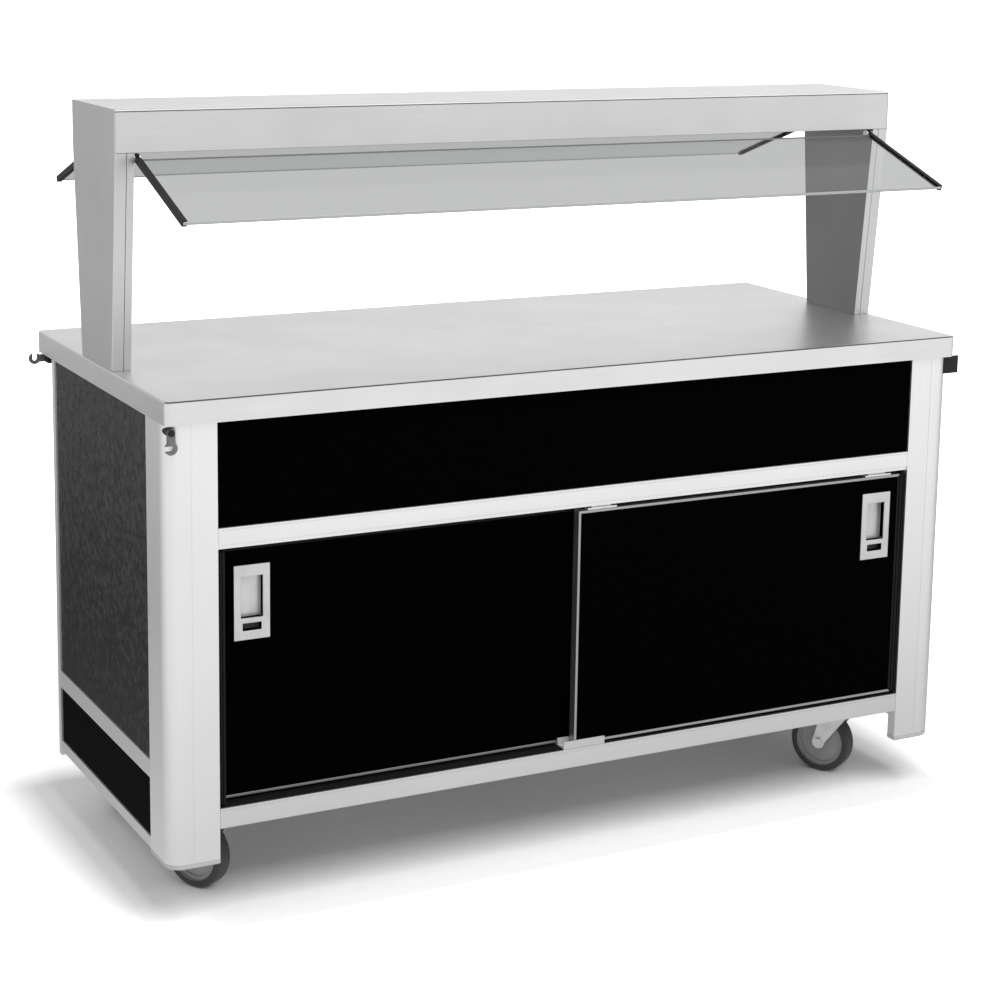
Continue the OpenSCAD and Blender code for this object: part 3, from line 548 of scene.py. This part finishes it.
trim_alloy = drawn_alloy("door frame alloy", grey=0.45, stretch=(60, 60, 60))
trim_w = 0.005
trim_slack = 0.0005
for name in ("left", "right"):
    low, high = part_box("door_" + name + "_trim")
    leaf_low, leaf_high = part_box("door_" + name)
    leaf = rough_block("leaf_" + name, *zip(leaf_low, leaf_high))
    pull_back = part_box("door_" + name + "_pull")[1].y
    for x, z in pull_openings(name):
        sink(leaf, x, z, pull_back - leaf_low.y)
    ease(leaf, width=0.0005)
    fit(leaf, "door_" + name, "laminate", black_laminate.mat, "door_" + name)

    trim = rough_block("trim_" + name, *zip(low, high))
    pick(trim, "FACE", lambda f: looks(f, y=1) or looks(f, y=-1))
    bpy.ops.mesh.inset(thickness=trim_w)
    bpy.ops.mesh.bridge_edge_loops()
    down()
    ease(trim, width=0.0007)
    fit(trim, "door_" + name, "aluminium", trim_alloy, "door_" + name + "_trim")
    stile_x = max(abs(low.x), abs(high.x)) - trim_w - trim_slack
    top_z = high.z - trim_w - trim_slack
    # The outer stiles, and the left door's top under the rail, are painted black: painted shade.
    refinish(trim, black_plastic_and_painted_shade.mat, lambda f: abs(f.center.x) > stile_x
             or name == "left" and f.center.z > top_z)

# Pulls
# A pull is a pressed steel plate near the door's outer edge, with a pocket
# for the fingers and below it a slot whose walls and floor are painted dark: painted shade.
pull_steel = Finish("pull steel", (0.66, 0.66, 0.67), rough=0.4, metal=0.85)
pull_steel.roughness(pull_steel.between(pull_steel.noise(60.0), low=0.34, high=0.46))
pull_steel.shades(pull_steel.noise(25.0), (0.62, 0.62, 0.63), (0.70, 0.70, 0.71))
painted_slot_shade = Finish("painted slot shade", (0.05, 0.05, 0.05), rough=0.5)
painted_slot_shade.relief(painted_slot_shade.noise(500.0, detail=2.0), strength=0.15, distance=0.0002)
plate_t = 0.0015
for name in ("left", "right"):
    low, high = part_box("door_" + name + "_pull")
    plate = rough_block("pull_" + name, (low.x, high.x), (low.y, low.y + plate_t), (low.z, high.z))
    pick(plate, "FACE", lambda f: looks(f, y=1))
    bpy.ops.mesh.delete(type="FACE")
    down()
    for x, z in pull_openings(name):
        sink(plate, x, z, high.y - low.y - plate_t)
    ease(plate, width=0.0007)
    fit(plate, "door_" + name, "pull_metal", pull_steel.mat, "door_" + name + "_pull")
    # The slot's walls and floor are painted dark: painted shade in the slot.
    latch_x, latch_z = pull_openings(name)[1]
    refinish(plate, painted_slot_shade.mat, lambda f: f.center.y > low.y + plate_t
             and latch_x[0] - touch < f.center.x < latch_x[1] + touch
             and latch_z[0] - touch < f.center.z < latch_z[1] + touch)

# Hangers
# Two zinc-plated steel hangers stand on the top edge of each door and run
# inside the track. Those of the right door show a little under the mid rail.
zinc = Finish("zinc plate", (0.86, 0.87, 0.88), rough=0.35, metal=0.6)
zinc.shades(zinc.noise(40.0, detail=3.0), (0.80, 0.81, 0.82), (0.90, 0.91, 0.92))
zinc.roughness(zinc.between(zinc.noise(90.0), low=0.28, high=0.45))
dressed("door_left_hangers", "door_left", "hardware", zinc.mat, width=0.0004)
dressed("door_right_hangers", "door_right", "hardware", zinc.mat, width=0.0004)

# Canopy columns
# Each column is a folded stainless case that narrows towards the worktop. Its
# outer sheet stands up beside the header and closes its end. The cover in its
# inner side is painted dark, painted shade, but for the two narrow edges,
# which wear the column's steel.


def folded_case(name, side, x):
    """A column's block, as wide as the header at its top and narrower at its foot."""
    case = rough_block(name, [side * place for place in x], (column_low.y, column_high.y),
                       (column_low.z, header_z))
    pick(case, "FACE", lambda f: looks(f, z=-1))
    bpy.ops.transform.resize(value=(1, column_foot / (column_high.y - column_low.y), 1),
                             center_override=(0, 0, column_low.z))
    down()
    return case


column_low, column_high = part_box("column_right")
cover_low, cover_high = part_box("column_cover_right")
header_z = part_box("header_shell")[0].z
column_foot = 0.168
cover_turn = 0.7
column_steel = satin_steel("column steel", grey=0.66, stretch=(900, 900, 6))
painted_shade_cover_steel = satin_steel("cover steel with painted shade", grey=0.28, stretch=(900, 900, 6))
for side, name in both_sides:
    case = folded_case("column_case_" + name, side, (column_low.x, column_high.x))
    edge = column_high.x - sheet
    cut_at(case, "x", side * edge)
    pick(case, "FACE", lambda f: looks(f, z=1) and side * centre(f).x > edge)
    shove(0, 0, column_high.z - header_z)
    ease(case, width=0.0014, steps=3)
    fit(case, "cabinet", "stainless", column_steel, "column_" + name)
    cover = folded_case("column_lining_" + name, side, (cover_low.x, cover_high.x))
    ease(cover, width=0.001)
    fit(cover, "cabinet", "stainless", painted_shade_cover_steel, "column_cover_" + name)
    # The cover is painted dark, painted shade, and its front and back edges wear the column's steel.
    refinish(cover, column_steel, lambda f: abs(f.normal.y) > cover_turn)

# Header
# The header is a folded stainless trough between the columns, closed by a
# lid that drops over it and leaves a fine joint along the top. The lid's lower
# edge is painted dark there: painted shade in the joint.
header_steel = satin_steel("header steel", grey=0.68, stretch=(6, 900, 900))
low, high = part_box("header_shell")
shell = rough_block("header_trough", *zip(low, high))
ease(shell, width=0.0012, steps=3)
fit(shell, "cabinet", "stainless", header_steel, "header_shell")

seam_h = 0.0012
nearly_level = 0.95
lid_steel = satin_steel("lid steel", grey=0.95, stretch=(6, 900, 900))
low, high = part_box("header_lid")
lid = rough_block("header_lid_sheet", *zip(low, high))
pick(lid, "FACE", lambda f: looks(f, z=-1))
bpy.ops.mesh.inset(thickness=sheet)
shove(0, 0, (high.z - low.z) / 2)
ease(lid, width=0.0009, steps=3)
fit(lid, "cabinet", "stainless", lid_steel, "header_lid")
# The lid's lower edge faces wear the dark steel: painted shade in the joint.
refinish(lid, painted_shade_steel, lambda f: f.center.z < low.z + seam_h and abs(f.normal.z) < nearly_level)

# Guards
# Front and back are guarded by a sloping sheet of clear glass, held at both
# ends in a black channel that swings on a stud in the column's cover. The
# glass edges are painted opaque grey: a painted reflection.
clear = Finish("clear guard", (0.90, 0.91, 0.91), rough=0.03)
clear.shader.inputs["Transmission Weight"].default_value = 1.0
clear.shader.inputs["IOR"].default_value = 1.12

painted_edge_reflection = Finish("glass edge with painted reflection", (0.36, 0.37, 0.37), rough=0.2)
painted_edge_reflection.relief(painted_edge_reflection.noise(60.0, detail=2.0, stretch=(1, 8, 8)), strength=0.1, distance=0.0003)

black_steel = Finish("black coated steel", (0.012, 0.012, 0.012), rough=0.5)
black_steel.shader.inputs["Specular IOR Level"].default_value = 0.25
black_steel.relief(black_steel.noise(350.0, detail=2.0), strength=0.2, distance=0.0002)

edge_turn = 0.5
for place in ("front", "back"):
    pane = dressed("guard_glass_" + place, "guard_" + place, "guard_clear", clear.mat, width=0.0008)
    flat = max(pane.data.polygons, key=lambda f: f.area).normal.copy()
    # The pane's edges are painted opaque grey: a painted reflection of the glass edge's dark line.
    refinish(pane, painted_edge_reflection.mat, lambda f: abs(f.normal.dot(flat)) < edge_turn)
    dressed("guard_arms_" + place, "guard_" + place, "black_steel", black_steel.mat, width=0.0006)
dressed("guard_pivots", "cabinet", "hardware", zinc.mat, width=0.0006)

# Hooks and catches
# Counters join end to end: two steel hooks on the left end drop over the
# pins of the catches on the right end of the next one.
dull_steel = Finish("dull steel", (0.22, 0.22, 0.23), rough=0.5, metal=0.9)
dull_steel.shades(dull_steel.noise(60.0, detail=3.0), (0.18, 0.18, 0.19), (0.26, 0.26, 0.27))
dull_steel.relief(dull_steel.noise(400.0, detail=2.0), strength=0.15, distance=0.0002)
dressed("hook_front", "hook_front", "hardware", dull_steel.mat, width=0.0005)
dressed("hook_back", "hook_back", "hardware", dull_steel.mat, width=0.0005)
dressed("hook_mounts", "cabinet", "black_steel", black_steel.mat, width=0.0005)
dressed("catch_plates", "cabinet", "black_steel", black_steel.mat, width=0.0006)

# Casters
# Four zinc-plated swivel forks, each bolted up through a plate, carry wheels
# with a rubber tyre and a grey plastic hub on a through bolt. The two at the
# back have a foot pedal.
hub_grey = Finish("hub plastic", (0.34, 0.34, 0.345), rough=0.45)
hub_grey.relief(hub_grey.noise(300.0, detail=2.0), strength=0.15, distance=0.0002)

wheel_w = 0.032
tread_round = 0.005
hub_r = 0.0495
hub_slack = 0.0005
hub_sunk = 0.006
dish_r = 0.043
dish_deep = 0.003
boss_r = 0.015
boss_out = 0.0105
end_on = 0.99
tyre_rubber = Finish("tyre rubber", (0.06, 0.06, 0.061), rough=0.6)
tyre_rubber.shader.inputs["Specular IOR Level"].default_value = 0.2
tyre_rubber.relief(tyre_rubber.noise(350.0, detail=2.0), strength=0.2, distance=0.0002)


def step_ends(inset, push):
    """Insets both end faces of the wheel and moves them along their normals."""
    bpy.ops.mesh.inset(thickness=inset)
    bpy.ops.mesh.extrude_region_shrink_fatten(TRANSFORM_OT_shrink_fatten={"value": push})


def off_axle(place, middle, axle):
    """How far a place lies from the wheel's axle."""
    out = place - middle
    return (out - axle * out.dot(axle)).length


dressed("caster_plates", "cabinet", "hardware", zinc.mat, width=0.0005)
for joint in frame["joints"]:
    if not joint["name"].startswith("roll_"):
        continue
    place = joint["name"].removeprefix("roll_")
    middle = Vector(joint["pos_m"])
    wheel_r = middle.z
    turn = math.atan2(joint["axis"][1], joint["axis"][0])
    let_go()
    bpy.ops.mesh.primitive_cylinder_add(vertices=96, radius=wheel_r, depth=wheel_w)
    wheel = bpy.context.active_object
    pick(wheel, "EDGE", lambda e: abs(e.verts[0].co.z - e.verts[1].co.z) < touch)
    bpy.ops.mesh.bevel(offset=tread_round, segments=5, affect="EDGES")
    down()
    pick(wheel, "FACE", lambda f: abs(f.normal.z) > end_on
         and abs(abs(centre(f).z) - wheel_w / 2) < touch)
    step_ends(wheel_r - tread_round - hub_r, -hub_sunk)
    step_ends(hub_r - dish_r, -dish_deep)
    step_ends(dish_r - boss_r, boss_out)
    down()
    wheel.rotation_euler = (math.pi / 2, 0, turn + math.pi / 2)
    wheel.location = middle
    take(wheel)
    settle(wheel, "wheel_" + place)
    smooth(wheel)
    fit(wheel, "wheel_" + place, "wheel", tyre_rubber.mat, "caster_wheel_" + place)
    axle = Vector(joint["axis"]).normalized()
    refinish(wheel, hub_grey.mat, lambda f: off_axle(f.center, middle, axle) < hub_r + hub_slack)
    dressed("caster_fork_" + place, "caster_" + place, "hardware", zinc.mat, width=0.0005)
dressed("caster_pedal_left", "pedal_left", "black_steel", black_steel.mat, width=0.0006)
dressed("caster_pedal_right", "pedal_right", "black_steel", black_steel.mat, width=0.0006)

# Floor
# The counter stands on a white sweep. Away from the counter it glows white to the
# camera, so that it meets the white backdrop without a line, and it keeps the
# shadow under the counter. Just outside the counter's plan it glows too: painted
# light that cuts the shadow off near the foot. What the metal mirrors of it is a
# painted glow, brightest in front and darkest behind: a painted reflection.


def ray_kinds(wiring):
    """Whether the camera sees this, straight or through a guard, and whether metal mirrors it."""
    rays = wiring.node("LightPath").outputs
    seen = wiring.reckon("Math", "MAXIMUM", rays["Is Camera Ray"], rays["Is Transmission Ray"])
    return seen, rays["Is Glossy Ray"]


let_go()
bpy.ops.mesh.primitive_plane_add(size=80, location=(0, 0, 0))
floor = bpy.context.active_object
floor.name = "studio_floor"
sweep = Finish("white sweep", (0.93, 0.93, 0.93), rough=0.9)
sweep.shader.inputs["Specular IOR Level"].default_value = 0.0
sweep.shades(sweep.noise(40.0, detail=3.0), (0.92, 0.92, 0.92), (0.95, 0.95, 0.95))
reach = sweep.reckon("VectorMath", "LENGTH", sweep.place)
wide_glow = sweep.between(reach, low=0.0, high=1.0, start=1.2, end=2.6)

# Just outside the counter's plan the floor glows to the camera: painted light that cuts the cast
# shadow off near the foot.
half_plan = (0.8, 0.365, 0.0)
past = sweep.reckon("VectorMath", "ABSOLUTE", sweep.place)
past = sweep.reckon("VectorMath", "SUBTRACT", past, half_plan)
past = sweep.reckon("VectorMath", "MAXIMUM", past, (0.0, 0.0, 0.0))
past = sweep.reckon("VectorMath", "LENGTH", past)
painted_shadow_edge_glow = sweep.between(past, low=0.0, high=0.5, start=0.02, end=0.11)
seen, mirrored = ray_kinds(sweep)
glow = sweep.reckon("Math", "ADD", wide_glow, painted_shadow_edge_glow)
glow = sweep.reckon("Math", "MULTIPLY", glow, seen)
white = (1, 1, 1, 1)
sweep.shader.inputs["Emission Color"].default_value = white
sweep.join(glow, sweep.shader.inputs["Emission Strength"])

# For metal the floor is a painted glow, brighter in front and darker behind: a painted reflection of
# the lit floor and its shadow.
to_front = (-0.35, -1, 0)
across = sweep.reckon("VectorMath", "DOT_PRODUCT", sweep.place, to_front)
near_floor = sweep.between(across, low=0.25, high=0.92, start=-1.0, end=1.9)
far_floor = sweep.between(reach, low=0.0, high=0.33, start=2.0, end=6.0)
brightest = 1.06
painted_reflection_glow = sweep.reckon("Math", "ADD", near_floor, far_floor)
painted_reflection_glow = sweep.reckon("Math", "MINIMUM", painted_reflection_glow, brightest)
painted_reflection_look = sweep.node("Emission")
sweep.join(painted_reflection_glow, painted_reflection_look.inputs["Strength"])
floor_look = sweep.mix(mirrored, sweep.shader.outputs[0], painted_reflection_look.outputs[0])
sweep.join(floor_look, sweep.tree.nodes["Material Output"].inputs["Surface"])
floor.data.materials.append(sweep.mat)

# Backdrop and lights
# The backdrop is white to the camera. What the metal mirrors of it is brighter
# on the right than on the left and overhead. Two softboxes, in front and on the
# left, light the counter and the floor up to its foot.
world = bpy.data.worlds.new("studio")
bpy.context.scene.world = world
world.use_nodes = True
sky = Wiring(world.node_tree)
sky.tree.nodes.clear()

bright_side = Vector((0.95, -0.1, 0.3)).normalized()
way = sky.node("TexCoord").outputs["Generated"]
facing = sky.reckon("VectorMath", "DOT_PRODUCT", way, bright_side)
side_glow = sky.between(facing, low=0.42, high=1.08, start=-1.0, end=1.0)
overhead = sky.between(sky.height(way), low=1.0, high=0.45, start=0.45, end=0.95)
sky_glow = sky.reckon("Math", "MULTIPLY", side_glow, overhead)

metal_view = sky.node("Background", Color=white)
sky.join(sky_glow, metal_view.inputs["Strength"])
soft_fill = sky.node("Background", Color=white, Strength=0.5)
white_view = sky.node("Background", Color=white, Strength=1.0)
seen, mirrored = ray_kinds(sky)
sky_look = sky.mix(mirrored, soft_fill.outputs[0], metal_view.outputs[0])
sky_look = sky.mix(seen, sky_look, white_view.outputs[0])
sky.join(sky_look, sky.node("OutputWorld").inputs["Surface"])


def softbox(name, place, aim, size, power):
    light = bpy.data.lights.new(name, "AREA")
    light.shape = "RECTANGLE"
    light.size, light.size_y = size
    light.energy = power
    holder = bpy.data.objects.new(name, light)
    bpy.context.scene.collection.objects.link(holder)
    holder.location = place
    holder.rotation_mode = "QUATERNION"
    holder.rotation_quaternion = (Vector(aim) - Vector(place)).to_track_quat("-Z", "Y")
    holder.visible_glossy = False
    holder.visible_transmission = False


softbox("front softbox", place=(0.2, -2.6, 3.6), aim=(0, -0.3, 0), size=(3.0, 2.6), power=150)
softbox("left softbox", place=(-3.3, 0.1, 3.4), aim=(-0.8, 0, 0), size=(2.4, 1.2), power=30)

# Camera
# The camera stands where the photograph was taken from: in front, to the left
# and a little above the canopy, with a long lens.
spot = Vector((-1.98962, -3.81511, 1.67884))
yaw, pitch, roll = 0.480245, -0.183358, 0.015733
forward = Vector((math.sin(yaw) * math.cos(pitch), math.cos(yaw) * math.cos(pitch), math.sin(pitch)))
level = Vector((math.cos(yaw), -math.sin(yaw), 0))
upward = level.cross(forward)
right = level * math.cos(roll) + upward * math.sin(roll)
up = upward * math.cos(roll) - level * math.sin(roll)
camera_data = bpy.data.cameras.new("camera")
sensor = 36
lens_px = 2287.2446
picture_px = 1000
camera_data.sensor_width = sensor
camera_data.lens = lens_px * sensor / picture_px
camera_data.shift_y = -0.15
camera = bpy.data.objects.new("camera", camera_data)
bpy.context.scene.collection.objects.link(camera)
turned = Matrix((right, up, -forward)).transposed().to_4x4()
turned.translation = spot
camera.matrix_world = turned
bpy.context.scene.camera = camera
bpy.context.scene.view_settings.view_transform = "Standard"
